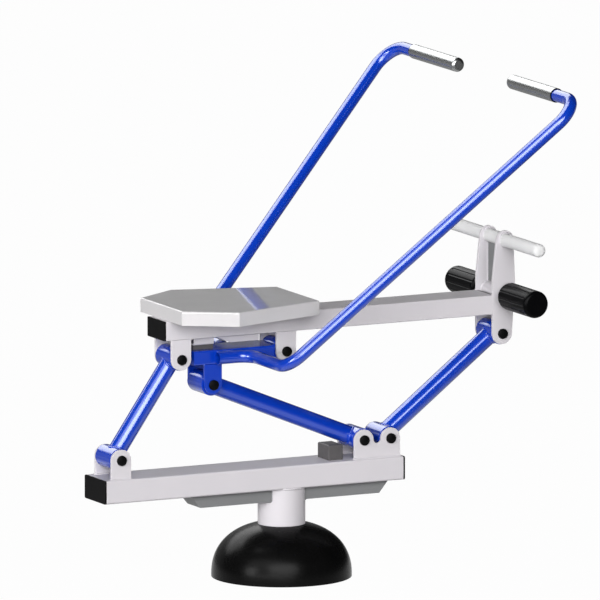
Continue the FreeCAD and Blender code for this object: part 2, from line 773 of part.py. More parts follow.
def make_toe_bar():
    cap_start = toe_bar_half_length - toe_bar_cap_length
    radius = toe_bar_diameter / 2
    bore = toe_bar_diameter - 2 * toe_bar_wall
    save("toe_bar", cross_tube(toe_bar_axis, toe_bar_diameter, bore, -cap_start, cap_start))
    spigot = radius - toe_bar_wall - plug_clearance
    round_start = toe_bar_cap_length - toe_bar_cap_round
    flat = radius - toe_bar_cap_round
    slant = toe_bar_cap_round * math.sqrt(0.5)
    shoulder = Vector(radius, round_start, 0)
    bulge = Vector(flat + slant, round_start + slant, 0)
    edge = Vector(flat, toe_bar_cap_length, 0)
    corners = [edge, Vector(0, toe_bar_cap_length, 0), Vector(0, -plug_depth, 0),
               Vector(spigot, -plug_depth, 0), Vector(spigot, 0, 0), Vector(radius, 0, 0), shoulder]
    section = [Part.LineSegment(a, b) for a, b in zip(corners, corners[1:])]
    section.append(Part.Arc(shoulder, bulge, edge))
    caps = [turned(section, toe_bar_axis + LEFT * (side * cap_start), side) for side in SIDES]
    save("toe_bar_caps", caps)


def make_rollers():
    inner_end = ear_outer + roller_plate_gap
    outer_end = inner_end + roller_length
    core_end = outer_end - roller_end_wall - retainer_thickness - 2 * retainer_clearance
    axle_end = core_end + retainer_clearance
    save("roller_axle", cross_rod(roller_axis, axle_diameter, -axle_end, axle_end))
    bore = axle_diameter + 2 * running_clearance
    spacers = []
    retainers = []
    for side, hand in zip(SIDES, ("right", "left")):
        def between(diameter, hole, start, end):
            low, high = sorted((side * start, side * end))
            return cross_tube(roller_axis, diameter, hole, low, high)

        spacers.append(between(spacer_diameter, bore, ear_outer, inner_end - spacer_clearance))
        low, high = sorted((side * axle_end, side * (axle_end + retainer_thickness)))
        retainers.append(cross_rod(roller_axis, retainer_diameter, low, high))
        save("roller_core_" + hand, between(roller_core_diameter, bore, inner_end, core_end))
        save("foot_roller_" + hand, foot_roller(side, inner_end, core_end))
    save("roller_spacers", spacers)
    save("roller_retainers", retainers)


def foot_roller(side, inner_end, core_end):
    """Moulded rubber sleeve with a closed outer end, rounded rims and flutes open at the inner end."""
    radius = roller_diameter / 2
    core = roller_core_diameter / 2
    pocket = retainer_diameter / 2 + retainer_clearance
    end = roller_end_round
    slant = end * math.sqrt(0.5)
    length = roller_length
    pocket_start = core_end - inner_end
    pocket_end = length - roller_end_wall
    low_rim = (Vector(radius - end, 0, 0), Vector(radius - end + slant, end - slant, 0),
               Vector(radius, end, 0))
    high_rim = (Vector(radius, length - end, 0), Vector(radius - end + slant, length - end + slant, 0),
                Vector(radius - end, length, 0))
    corners = [high_rim[2], Vector(0, length, 0), Vector(0, pocket_end, 0), Vector(pocket, pocket_end, 0),
               Vector(pocket, pocket_start, 0), Vector(core, pocket_start, 0), Vector(core, 0, 0), low_rim[0]]
    section = [Part.LineSegment(a, b) for a, b in zip(corners, corners[1:])]
    section += [Part.Arc(*low_rim), Part.LineSegment(low_rim[2], high_rim[0]), Part.Arc(*high_rim)]
    sleeve = turned(section, roller_axis + LEFT * (side * inner_end), side)
    low, high = sorted((side * inner_end, side * (inner_end + length - flute_outer_margin)))
    for k in range(flute_count):
        angle = 2 * math.pi * k / flute_count
        out = radius + flute_radius - flute_depth
        spot = roller_axis + Vector(out * math.cos(angle), 0, out * math.sin(angle))
        sleeve = sleeve.cut(cross_rod(spot, 2 * flute_radius, low, high))
    return sleeve


def make_lever():
    """Arm welded to its pivot hub, with a clevis below its tail."""
    centre = upper_pivot_height
    section = (arm_width, arm_height, arm_wall, arm_corner)
    arm = box_tube(arm_rear, arm_front, centre, *section)
    end = rounded_rectangle(arm_width / 2, arm_height / 2, arm_corner).extrude(FORWARD * arm_end_plate)
    for place in (arm_rear, arm_front - arm_end_plate):
        lid = end.copy()
        lid.translate(Vector(place, 0, centre))
        arm = arm.fuse(lid)
    neck = block(Vector(arm_front - arm_wall, -arm_neck_width / 2, centre - arm_height / 2),
                 Vector(lever_pivot.x, arm_neck_width / 2, centre + arm_height / 2))
    arm = arm.fuse(neck).fuse(hub(lever_pivot)).removeSplitter()
    vent = Part.makeCylinder(vent_diameter / 2, lever_pivot.x - arm_rear - arm_end_plate,
                             Vector(arm_rear + arm_end_plate, 0, centre), FORWARD)
    save("lever_arm", arm.cut(vent).cut(hub_bore(lever_pivot)))
    save("lever_bearings", bearing_pair(lever_pivot, running_clearance))
    save("clevis_ears", ear_pair(clevis_pivot, clevis_ear_radius, centre - arm_height / 2))


def make_handles():
    """Bent handles along the arm's two sides, each with a closed steel grip on its end."""
    radius = handle_diameter / 2
    grip_radius = grip_diameter / 2
    tube_end = grip_inner_half_gap + grip_end_wall
    top_x = lever_pivot.x + handle_top_reach
    top_z = upper_pivot_height + handle_top_rise
    bend_x = lever_pivot.x - handle_bend_setback
    root = arm_width / 2 + radius + weld_gap
    for side, hand in zip(SIDES, ("right", "left")):
        points = [Vector(bend_x - handle_weld_length, side * root, upper_pivot_height),
                  Vector(bend_x, side * root, upper_pivot_height),
                  Vector(bend_x, side * handle_low_half_width, upper_pivot_height),
                  Vector(top_x, side * handle_top_half_width, top_z),
                  Vector(top_x, side * tube_end, top_z)]
        radii = (handle_root_radius, handle_bend_radius, handle_bend_radius)
        save("handle_" + hand, bent_tube(points, radii, handle_diameter, handle_wall))

        bore = radius + running_clearance
        flat = grip_radius - grip_end_round
        slant = grip_end_round * math.sqrt(0.5)
        rim = (Vector(flat, 0, 0), Vector(flat + slant, grip_end_round - slant, 0),
               Vector(grip_radius, grip_end_round, 0))
        corners = [rim[2], Vector(grip_radius, grip_length, 0), Vector(bore, grip_length, 0),
                   Vector(bore, grip_end_wall, 0), Vector(0, grip_end_wall, 0), Vector(0, 0, 0), rim[0]]
        profile = [Part.LineSegment(a, b) for a, b in zip(corners, corners[1:])]
        profile.append(Part.Arc(*rim))
        place = Vector(top_x, side * grip_inner_half_gap, top_z)
        save("grip_" + hand, turned(profile, place, side))


os.makedirs("parts", exist_ok=True)
make_base()
make_lower_beam()
make_lower_brackets()
make_rod_stop()
make_links()
make_upper_beam()
make_seat()
make_front_plates()
make_toe_bar()
make_rollers()
make_lever_stop()
make_lever()
make_handles()
make_fasteners("lower", (rear_lower_pivot, rod_pivot, front_lower_pivot))
make_fasteners("upper", (rear_upper_pivot, lever_pivot, front_upper_pivot))
make_fasteners("clevis", (clevis_pivot,))
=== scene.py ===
import json
import math

import bmesh
import bpy
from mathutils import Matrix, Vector


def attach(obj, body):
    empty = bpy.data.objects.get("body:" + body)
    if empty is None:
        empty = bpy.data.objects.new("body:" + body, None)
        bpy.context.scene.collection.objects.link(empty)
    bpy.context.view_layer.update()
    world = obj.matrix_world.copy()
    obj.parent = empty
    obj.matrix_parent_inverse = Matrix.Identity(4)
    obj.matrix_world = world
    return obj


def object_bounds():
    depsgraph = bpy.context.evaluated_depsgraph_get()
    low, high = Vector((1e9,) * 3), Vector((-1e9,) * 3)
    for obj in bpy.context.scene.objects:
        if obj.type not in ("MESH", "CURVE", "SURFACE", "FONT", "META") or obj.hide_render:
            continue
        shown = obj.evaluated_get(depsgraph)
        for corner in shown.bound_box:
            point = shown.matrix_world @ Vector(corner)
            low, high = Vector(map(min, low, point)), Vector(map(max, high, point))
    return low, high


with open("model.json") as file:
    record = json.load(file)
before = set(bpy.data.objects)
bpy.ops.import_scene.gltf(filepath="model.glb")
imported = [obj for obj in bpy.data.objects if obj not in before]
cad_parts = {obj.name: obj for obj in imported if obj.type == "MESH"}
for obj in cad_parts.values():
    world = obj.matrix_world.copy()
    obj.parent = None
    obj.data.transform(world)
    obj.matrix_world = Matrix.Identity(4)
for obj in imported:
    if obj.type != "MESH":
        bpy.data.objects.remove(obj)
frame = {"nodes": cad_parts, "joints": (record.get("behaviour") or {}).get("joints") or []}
cad_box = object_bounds()
nodes = frame["nodes"]

# Foot of the machine: the ground flange, its ribs and the round post.
# Mild steel, welded into one piece and powder coated silver grey. The flange is bolted down through four
# holes that the cover hides.

MM = 0.001


def linear(hex_colour):
    """An sRGB hex colour as linear red, green, blue and alpha."""
    channels = [int(hex_colour[k:k + 2], 16) / 255 for k in (1, 3, 5)]
    return [c / 12.92 if c <= 0.04045 else ((c + 0.055) / 1.055) ** 2.4 for c in channels] + [1.0]


def per_metre(spacing_mm):
    """Texture scale of a pattern that repeats at a spacing in millimetres."""
    return 1 / (spacing_mm * MM)


def empty_material(name):
    """New material that has no nodes yet."""
    material = bpy.data.materials.new(name)
    material.use_nodes = True
    material.node_tree.nodes.clear()
    return material


def add_node(material, kind, settings=None, links=None):
    """Add a shader node. Settings are its properties or its sockets, links run from an output to a socket.
    A socket goes by its name, or by its number where several share a name."""
    node = material.node_tree.nodes.new(kind)
    for name, value in (settings or {}).items():
        if isinstance(name, int) or name in node.inputs:
            node.inputs[name].default_value = value
        else:
            setattr(node, name, value)
    for name, output in (links or {}).items():
        material.node_tree.links.new(output, node.inputs[name])
    return node


# Socket numbers of a node that mixes two colours: its share, the two colours and the mixed one.
MIX_SHARE = 0
MIX_FIRST = 6
MIX_SECOND = 7
MIXED = 2


def powder_coat(name, coat_colour, cloud_colour, lighter_edge_colour):
    """Polyester powder coat, sprayed and baked on steel, with a satin gloss.
    To the eye it is even, with a faint orange peel, and it is drawn a little lighter on sharp edges."""
    cloud_mm = 140.0
    # Real orange peel is about 2 mm across. It is drawn at 5 mm, so that it shows.
    peel_mm = 5.0
    peel_depth = 0.2 * MM
    # Edges are drawn lighter where a normal rounded off over this radius leaves the true one, between these
    # cosines.
    edge_radius = 1.5 * MM
    flat_cosine = 0.97
    edge_cosine = 0.85
    material = empty_material(name)
    place = add_node(material, "ShaderNodeTexCoord").outputs["Object"]
    cloud = add_node(material, "ShaderNodeTexNoise", {"Scale": per_metre(cloud_mm), "Detail": 2.0},
                     {"Vector": place}).outputs["Fac"]
    peel = add_node(material, "ShaderNodeTexNoise", {"Scale": per_metre(peel_mm), "Detail": 1.0},
                    {"Vector": place}).outputs["Fac"]
    base = add_node(material, "ShaderNodeMix",
                    {"data_type": "RGBA", MIX_FIRST: linear(coat_colour), MIX_SECOND: linear(cloud_colour)},
                    {MIX_SHARE: cloud}).outputs[MIXED]
    rounded = add_node(material, "ShaderNodeBevel", {"samples": 4, "Radius": edge_radius}).outputs["Normal"]
    true_normal = add_node(material, "ShaderNodeNewGeometry").outputs["Normal"]
    flatness = add_node(material, "ShaderNodeVectorMath", {"operation": "DOT_PRODUCT"},
                        {0: rounded, 1: true_normal}).outputs["Value"]
    edge = add_node(material, "ShaderNodeMapRange", {"From Min": flat_cosine, "From Max": edge_cosine},
                    {"Value": flatness}).outputs["Result"]
    tone = add_node(material, "ShaderNodeMix", {"data_type": "RGBA", MIX_SECOND: linear(lighter_edge_colour)},
                    {MIX_SHARE: edge, MIX_FIRST: base}).outputs[MIXED]
    gloss = add_node(material, "ShaderNodeMapRange", {"To Min": 0.38, "To Max": 0.46},
                     {"Value": cloud}).outputs["Result"]
    bump = add_node(material, "ShaderNodeBump", {"Strength": 0.04, "Distance": peel_depth},
                    {"Height": peel}).outputs["Normal"]
    paint = add_node(material, "ShaderNodeBsdfPrincipled", {"IOR": 1.5, "Specular IOR Level": 0.06},
                     {"Base Color": tone, "Roughness": gloss, "Normal": bump}).outputs["BSDF"]
    add_node(material, "ShaderNodeOutputMaterial", {}, {"Surface": paint})
    return material


def finish_nodes(material, names):
    """Give carried-over nodes their finish."""
    for name in names:
        slots = nodes[name].data.materials
        slots.clear()
        slots.append(material)


silver_coat = powder_coat("silver_powder_coat", "#CBC7CB", "#C4C1C5", "#DAD7DA")
finish_nodes(silver_coat, ("base_flange", "base_ribs", "post"))

# Domed cover over the flange.
# Black polyethylene, rotation moulded with a gloss skin. It is slid down the post and stands on the ground
# by its rim.


def gloss_polyethylene():
    """Black polyethylene, rotation moulded: a dark gloss skin with soft, broad highlights."""
    skin_colour = linear("#060606")
    dusty_colour = linear("#0C0C0C")
    dust_mm = 60.0
    material = empty_material("gloss_polyethylene")
    place = add_node(material, "ShaderNodeTexCoord").outputs["Object"]
    dust = add_node(material, "ShaderNodeTexNoise", {"Scale": per_metre(dust_mm), "Detail": 4.0},
                    {"Vector": place}).outputs["Fac"]
    tone = add_node(material, "ShaderNodeMix",
                    {"data_type": "RGBA", MIX_FIRST: skin_colour, MIX_SECOND: dusty_colour},
                    {MIX_SHARE: dust}).outputs[MIXED]
    gloss = add_node(material, "ShaderNodeMapRange", {"To Min": 0.24, "To Max": 0.30},
                     {"Value": dust}).outputs["Result"]
    skin = add_node(material, "ShaderNodeBsdfPrincipled", {"IOR": 1.5, "Specular IOR Level": 0.055},
                    {"Base Color": tone, "Roughness": gloss}).outputs["BSDF"]
    add_node(material, "ShaderNodeOutputMaterial", {}, {"Surface": skin})
    return material


finish_nodes(gloss_polyethylene(), ("base_dome_cover",))

# Lower beam with its two reinforcing channels, link brackets and the push rod's stop.
# Rectangular steel tube, folded channel and laser-cut plate, welded to the post and powder coated. The
# channels are coloured a darker grey: painted shade, for the shade that falls on them under the beam.

plate_edge_mm = 1.2


def ease_edges(names, radius_mm):
    """Round sharp edges of carried-over nodes, as deburring and paint do, and shade their faces evenly."""
    same_place = 0.001 * MM
    flat_angle = math.radians(0.5)
    sharp_angle = math.radians(32)
    for name in names:
        weld = nodes[name].modifiers.new("join_faces", "WELD")
        weld.merge_threshold = same_place
        flat = nodes[name].modifiers.new("join_flat_faces", "DECIMATE")
        flat.decimate_type = "DISSOLVE"
        flat.angle_limit = flat_angle
        bevel = nodes[name].modifiers.new("eased_edges", "BEVEL")
        bevel.width = radius_mm * MM
        bevel.segments = 2
        bevel.limit_method = "ANGLE"
        bevel.angle_limit = sharp_angle
        even = nodes[name].modifiers.new("even_shading", "WEIGHTED_NORMAL")
        even.keep_sharp = True


lower_steel = ("lower_beam", "rear_lower_ears", "front_lower_plates")
channels = ("rear_reinforcement", "front_reinforcement")
# The darker grey is painted shade, for the shade under the beam and in the footrest's recess.
shade_grey_coat = powder_coat("painted_shade_grey_coat", "#7C7D7E", "#757677", "#8A8B8D")
finish_nodes(silver_coat, lower_steel + ("rod_stop_block",))
finish_nodes(shade_grey_coat, channels)
ease_edges(lower_steel + channels, plate_edge_mm)

# Weld beads of the lower beam and the post.
# Steel laid down along the seams in small ripples, and coated with the pieces that it joins.

ear_thickness = 8.0 * MM
ripple = 5.0 * MM
# A seam's points lie a quarter of a ripple apart.
seam_step = ripple / 4
bead_swell = 0.12
base_bead_mm = 3.2
channel_bead_mm = 2.6


def box_of(name):
    """Lowest and highest corner of a carried-over node."""
    corners = [nodes[name].matrix_world @ Vector(corner) for corner in nodes[name].bound_box]
    return [Vector(pick(corner[k] for corner in corners) for k in range(3)) for pick in (min, max)]


def straight(*corners):
    """Points of a seam along straight lines from corner to corner."""
    points = [corners[0]]
    for start, end in zip(corners, corners[1:]):
        count = max(1, round((end - start).length / seam_step))
        points += [start.lerp(end, k / count) for k in range(1, count + 1)]
    return points


def curved(centre, across, along, start_degrees, end_degrees):
    """Points of a round seam between two angles. The half axes across and along give its size and plane."""
    fewest_steps = 8
    span = math.radians(end_degrees - start_degrees)
    count = max(fewest_steps, round(abs(span) * across.length / seam_step))
    angles = [math.radians(start_degrees) + span * k / count for k in range(count + 1)]
    return [centre + across * math.cos(a) + along * math.sin(a) for a in angles]


def rolls(name, seams, radius_mm, swell, material, body):
    """Rolls of material along seams, as one piece. They swell at each ripple and taper at their ends."""
    sides = 8
    taper = (0.35, 0.75, 0.93)
    shape = bmesh.new()
    for seam in seams:
        rings = []
        across = (seam[1] - seam[0]).orthogonal().normalized()
        for k, point in enumerate(seam):
            ahead = (seam[min(k + 1, len(seam) - 1)] - seam[max(k - 1, 0)]).normalized()
            across = (across - ahead * across.dot(ahead)).normalized()
            beside = ahead.cross(across)
            from_end = min(k, len(seam) - 1 - k)
            radius = radius_mm * MM * (1 + swell * math.cos(math.pi / 2 * k))
            radius *= taper[from_end] if from_end < len(taper) else 1.0
            turns = [2 * math.pi * side / sides for side in range(sides)]
            rings.append([shape.verts.new(point + (across * math.cos(t) + beside * math.sin(t)) * radius)
                          for t in turns])
        for ring, following in zip(rings, rings[1:]):
            for side in range(sides):
                other = (side + 1) % sides
                shape.faces.new((ring[side], ring[other], following[other], following[side]))
        shape.faces.new(rings[0][::-1])
        shape.faces.new(rings[-1])
    mesh = bpy.data.meshes.new(name)
    shape.to_mesh(mesh)
    shape.free()
    mesh.shade_smooth()
    mesh.materials.append(material)
    piece = bpy.data.objects.new(name, mesh)
    bpy.context.scene.collection.objects.link(piece)
    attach(piece, body)


def foot_loop(name, side, height):
    """Seam round the foot of one of a pair of plates that stand on a beam."""
    low, high = box_of(name)
    outer = high.y * side
    inner = (high.y - ear_thickness) * side
    corners = ((low.x, inner), (high.x, inner), (high.x, outer), (low.x, outer), (low.x, inner))
    return straight(*[Vector((x, y, height)) for x, y in corners])


beam_low, beam_high = box_of("lower_beam")
post_radius = box_of("post")[1].x
channel_half_width = box_of("rear_reinforcement")[1].y
# Angle, seen from above, at which the channels' sides meet the post.
meeting_degrees = math.degrees(math.asin(channel_half_width / post_radius))
post_head = Vector((0, 0, beam_low.z))
base_seams = []
for side in (-1, 1):
    base_seams.append(foot_loop("rear_lower_ears", side, beam_high.z))
    base_seams.append(foot_loop("front_lower_plates", side, beam_high.z))
    base_seams.append(curved(post_head, Vector((post_radius, 0, 0)), Vector((0, side * post_radius, 0)),
                             meeting_degrees, 180 - meeting_degrees))
rolls("base_welds", base_seams, base_bead_mm, bead_swell, silver_coat, "base")

channel_seams = []
for name, forward in (("rear_reinforcement", -1), ("front_reinforcement", 1)):
    low, high = box_of(name)
    root_x = forward * math.sqrt(post_radius ** 2 - high.y ** 2)
    tip_x = high.x if forward > 0 else low.x
    for y in (low.y, high.y):
        channel_seams.append(straight(Vector((root_x, y, low.z)), Vector((root_x, y, high.z)),
                                      Vector((tip_x, y, high.z))))
    channel_seams.append(curved(Vector((0, 0, low.z)), Vector((forward * post_radius, 0, 0)),
                                Vector((0, post_radius, 0)), -meeting_degrees, meeting_degrees))
rolls("channel_welds", channel_seams, channel_bead_mm, bead_swell, shade_grey_coat, "base")

# End plugs of the beams and round covers of the pivot bolts.
# Injection-moulded black polyethylene, pushed into the tubes and over the bolt heads and nuts.

cover_edge_mm = 1.0


def moulded_polyethylene():
    """Black polyethylene from a spark-eroded mould: dull, with a fine grain and weak, soft highlights."""
    skin_colour = linear("#060607")
    worn_colour = linear("#0C0C0D")
    wear_mm = 25.0
    # The mould's grain is about 0.3 mm. It is drawn at 2 mm, so that it shows.
    grain_mm = 2.0
    grain_depth = 0.1 * MM
    material = empty_material("moulded_polyethylene")
    place = add_node(material, "ShaderNodeTexCoord").outputs["Object"]
    wear = add_node(material, "ShaderNodeTexNoise", {"Scale": per_metre(wear_mm), "Detail": 3.0},
                    {"Vector": place}).outputs["Fac"]
    grain = add_node(material, "ShaderNodeTexNoise", {"Scale": per_metre(grain_mm), "Detail": 2.0},
                     {"Vector": place}).outputs["Fac"]
    tone = add_node(material, "ShaderNodeMix",
                    {"data_type": "RGBA", MIX_FIRST: skin_colour, MIX_SECOND: worn_colour},
                    {MIX_SHARE: wear}).outputs[MIXED]
    gloss = add_node(material, "ShaderNodeMapRange", {"To Min": 0.40, "To Max": 0.52},
                     {"Value": wear}).outputs["Result"]
    bump = add_node(material, "ShaderNodeBump", {"Strength": 0.1, "Distance": grain_depth},
                    {"Height": grain}).outputs["Normal"]
    skin = add_node(material, "ShaderNodeBsdfPrincipled", {"IOR": 1.5, "Specular IOR Level": 0.05},
                    {"Base Color": tone, "Roughness": gloss, "Normal": bump}).outputs["BSDF"]
    add_node(material, "ShaderNodeOutputMaterial", {}, {"Surface": skin})
    return material


plastic_covers = ("lower_beam_plugs", "upper_beam_rear_plug", "lower_bolt_caps", "upper_bolt_caps",
                  "clevis_bolt_caps")
finish_nodes(moulded_polyethylene(), plastic_covers)
ease_edges(plastic_covers, cover_edge_mm)

# Rubber pads of the two stops and the ribbed sleeves of the foot rollers.
# Moulded rubber, bonded to the stops and pressed over the rollers' cores. It is grey on the stops and black
# on the rollers.


def moulded_rubber(name, rubber_colour, bloom_colour):
    """Rubber from a mould: dull, with a slight bloom and a broad weak sheen on its ridges."""
    bloom_mm = 18.0
    bloom_depth = 0.2 * MM
    material = empty_material(name)
    place = add_node(material, "ShaderNodeTexCoord").outputs["Object"]
    bloom = add_node(material, "ShaderNodeTexNoise", {"Scale": per_metre(bloom_mm), "Detail": 5.0},
                     {"Vector": place}).outputs["Fac"]
    tone = add_node(material, "ShaderNodeMix",
                    {"data_type": "RGBA", MIX_FIRST: linear(rubber_colour), MIX_SECOND: linear(bloom_colour)},
                    {MIX_SHARE: bloom}).outputs[MIXED]
    gloss = add_node(material, "ShaderNodeMapRange", {"To Min": 0.20, "To Max": 0.30},
                     {"Value": bloom}).outputs["Result"]
    bump = add_node(material, "ShaderNodeBump", {"Strength": 0.1, "Distance": bloom_depth},
                    {"Height": bloom}).outputs["Normal"]
    skin = add_node(material, "ShaderNodeBsdfPrincipled", {"IOR": 1.52, "Specular IOR Level": 0.035},
                    {"Base Color": tone, "Roughness": gloss, "Normal": bump}).outputs["BSDF"]
    add_node(material, "ShaderNodeOutputMaterial", {}, {"Surface": skin})
    return material


finish_nodes(moulded_rubber("grey_rubber", "#4E4C4D", "#5A5859"), ("rod_stop_pad", "lever_stop_pad"))
black_rubber = moulded_rubber("black_rubber", "#040405", "#0A0A0B")
finish_nodes(black_rubber, ("foot_roller_left", "foot_roller_right"))

# Links, push rod, lever and handles.
# Round steel tube welded to turned hubs and to the lever's arm, and powder coated in a gloss blue. The hubs
# turn on bearings and hang on bolts between the ears.


def blue_gloss_coat():
    """Polyester powder coat, flowed out smooth in the oven: a gloss ultramarine with crisp reflections."""
    coat_colour = linear("#0538B2")
    deep_colour = linear("#0432A4")
    glint_colour = linear("#E6F0FF")
    cloud_mm = 110.0
    material = empty_material("blue_gloss_coat")
    place = add_node(material, "ShaderNodeTexCoord").outputs["Object"]
    cloud = add_node(material, "ShaderNodeTexNoise", {"Scale": per_metre(cloud_mm), "Detail": 2.0},
                     {"Vector": place}).outputs["Fac"]
    tone = add_node(material, "ShaderNodeMix",
                    {"data_type": "RGBA", MIX_FIRST: coat_colour, MIX_SECOND: deep_colour},
                    {MIX_SHARE: cloud}).outputs[MIXED]
    gloss = add_node(material, "ShaderNodeMapRange", {"To Min": 0.14, "To Max": 0.18},
                     {"Value": cloud}).outputs["Result"]
    paint = add_node(material, "ShaderNodeBsdfPrincipled",
                     {"IOR": 1.5, "Specular IOR Level": 1.0, "Specular Tint": glint_colour},
                     {"Base Color": tone, "Roughness": gloss}).outputs["BSDF"]
    add_node(material, "ShaderNodeOutputMaterial", {}, {"Surface": paint})
    return material


blue_coat = blue_gloss_coat()
links_and_lever = ("rear_link", "front_link", "push_rod", "lever_arm", "clevis_ears")
finish_nodes(blue_coat, links_and_lever + ("handle_left", "handle_right"))
ease_edges(links_and_lever, plate_edge_mm)

# Weld beads of the links, the push rod and the lever.
# Rippled steel beads, coated blue. They run round each tube where it meets its hubs, along both handles on
# the lever's arm, and round the roots of the clevis ears under it.

hub_radius = 29.0 * MM
link_tube_radius = 23.0 * MM
link_bead_mm = 2.6
link_bead_swell = 0.1
front_plate_to_pivot = 27.5 * MM


def saddle(pivot, far_pivot):
    """Seam where a link's tube meets the hub at one of its ends."""
    along = (far_pivot - pivot).normalized()
    sideways = Vector((0, 1, 0))
    upwards = along.cross(sideways)
    count = round(2 * math.pi * link_tube_radius / seam_step)
    # The ends overlap, so that the bead closes.
    overlap = 2
    points = []
    for k in range(count + overlap + 1):
        angle = 2 * math.pi * k / count
        width = link_tube_radius * math.cos(angle)
        height = link_tube_radius * math.sin(angle)
        reach = math.sqrt(hub_radius ** 2 - height ** 2)
        points.append(pivot + sideways * width + upwards * height + along * reach)
    return points


joint_place = {joint["name"]: Vector(joint["pos_m"]) for joint in frame["joints"]}
rear_low = joint_place["rear_link_pivot"]
rear_high = joint_place["seat_pivot"]
front_low = joint_place["front_link_pivot"]
plate_low, plate_high = box_of("front_plate_left")
front_high = Vector((plate_low.x + front_plate_to_pivot, 0, rear_high.z))
rod_low = joint_place["push_rod_pivot"]
clevis_low, clevis_high = box_of("clevis_ears")
clevis_radius = (clevis_high.x - clevis_low.x) / 2
clevis = Vector(((clevis_low.x + clevis_high.x) / 2, 0, clevis_low.z + clevis_radius))
for body, low_end, high_end in (("rear_link", rear_low, rear_high), ("front_link", front_low, front_high),
                                ("push_rod", rod_low, clevis)):
    link_seams = [saddle(low_end, high_end), saddle(high_end, low_end)]
    rolls(body + "_welds", link_seams, link_bead_mm, link_bead_swell, blue_coat, body)


def ear_root(name, side, height):
    """Seam round three sides of an ear's root. Its outer face lies flush with the beam."""
    low, high = box_of(name)
    outer = high.y * side
    inner = (high.y - ear_thickness) * side
    corners = ((low.x, outer), (low.x, inner), (high.x, inner), (high.x, outer))
    return straight(*[Vector((x, y, height)) for x, y in corners])


handle_radius = 16.0 * MM
lever_bead_mm = 3.2
# The handles lie against the arm's sides, and a bead fills the groove above and below each of them, between
# these distances from the handle's end.
groove_bead = 3.0 * MM
groove_start = 3.0 * MM
groove_end = 48.0 * MM
groove_rise = math.sqrt((handle_radius + groove_bead) ** 2 - (handle_radius - groove_bead) ** 2)
arm_half_width = box_of("lever_arm")[1].y
handle_end_x = box_of("handle_right")[0].x
lever_height = joint_place["lever_pivot"].z
lever_seams = []
for side in (-1, 1):
    lever_seams.append(ear_root("clevis_ears", side, clevis_high.z))
    for rise in (-groove_rise, groove_rise):
        beside = side * (arm_half_width + groove_bead)
        lever_seams.append(straight(Vector((handle_end_x + groove_start, beside, lever_height + rise)),
                                    Vector((handle_end_x + groove_end, beside, lever_height + rise))))
rolls("lever_welds", lever_seams, lever_bead_mm, bead_swell, blue_coat, "handle_lever")

# Upper beam with its channel, ears and lever stop, and the footrest's plates, webs and bars.
# Rectangular and round steel tube and laser-cut plate, welded and powder coated: silver grey, with the
# footrest's web in a darker grey as painted shade for its recess between the plates, and the toe bar in
# white.

upper_steel = ("upper_beam", "upper_reinforcement", "rear_upper_ears", "lever_ears", "lever_stop_block",
               "front_plate_left", "front_plate_right", "roller_axle_housing")
white_coat = powder_coat("white_powder_coat", "#DADADA", "#D4D4D4", "#E3E3E3")
finish_nodes(silver_coat, upper_steel)
# The web's darker grey is painted shade, for its recess between the plates.
finish_nodes(shade_grey_coat, ("footrest_webs",))
finish_nodes(white_coat, ("toe_bar", "toe_bar_caps"))
ease_edges(upper_steel + ("footrest_webs",), plate_edge_mm)

# Weld beads of the upper beam and the footrest.
# Rippled steel beads, coated silver grey. They hold the ears and the channel under the beam, the two plates
# at its end, and the bar, housing and web between those plates.

frame_bead_mm = 2.8
web_half_thickness = 3.0 * MM
web_seam_gap = 2.0 * MM
# Round beads run a little past a full turn, so that they close.
round_bead_degrees = 370
upper_low, upper_high = box_of("upper_beam")
strip_low, strip_high = box_of("upper_reinforcement")
bar_low, bar_high = box_of("toe_bar")
bar_axis = (bar_low + bar_high) / 2
bar_radius = (bar_high.x - bar_low.x) / 2
housing_low, housing_high = box_of("roller_axle_housing")
housing_axis = (housing_low + housing_high) / 2
housing_radius = (housing_high.x - housing_low.x) / 2
plate_inner = plate_low.y
plate_outer = plate_high.y
web_face_x = housing_axis.x - web_half_thickness
frame_seams = []
for side in (-1, 1):
    frame_seams.append(ear_root("rear_upper_ears", side, upper_low.z))
    frame_seams.append(ear_root("lever_ears", side, upper_low.z))
    frame_seams.append(straight(Vector((strip_low.x, side * strip_high.y, strip_high.z)),
                                Vector((strip_high.x, side * strip_high.y, strip_high.z))))
    frame_seams.append(straight(Vector((plate_low.x, side * plate_inner, upper_high.z)),
                                Vector((plate_low.x, side * plate_outer, upper_high.z))))
    for y in (plate_inner, plate_outer):
        frame_seams.append(curved(bar_axis + Vector((0, side * y, 0)), Vector((bar_radius, 0, 0)),
                                  Vector((0, 0, bar_radius)), 0, round_bead_degrees))
    housing_end = housing_axis + Vector((0, side * plate_inner, 0))
    frame_seams.append(curved(housing_end, Vector((housing_radius, 0, 0)), Vector((0, 0, housing_radius)),
                              0, round_bead_degrees))
    frame_seams.append(straight(Vector((web_face_x, side * plate_inner, housing_high.z + web_seam_gap)),
                                Vector((web_face_x, side * plate_inner, bar_low.z - web_seam_gap))))
rolls("seat_frame_welds", frame_seams, frame_bead_mm, bead_swell, silver_coat, "seat_frame")

# Seat: a six-sided folded tray on two hat sections, screwed to the beam.
# Steel sheet, powder coated and lacquered, so smooth that its top mirrors what stands behind it.


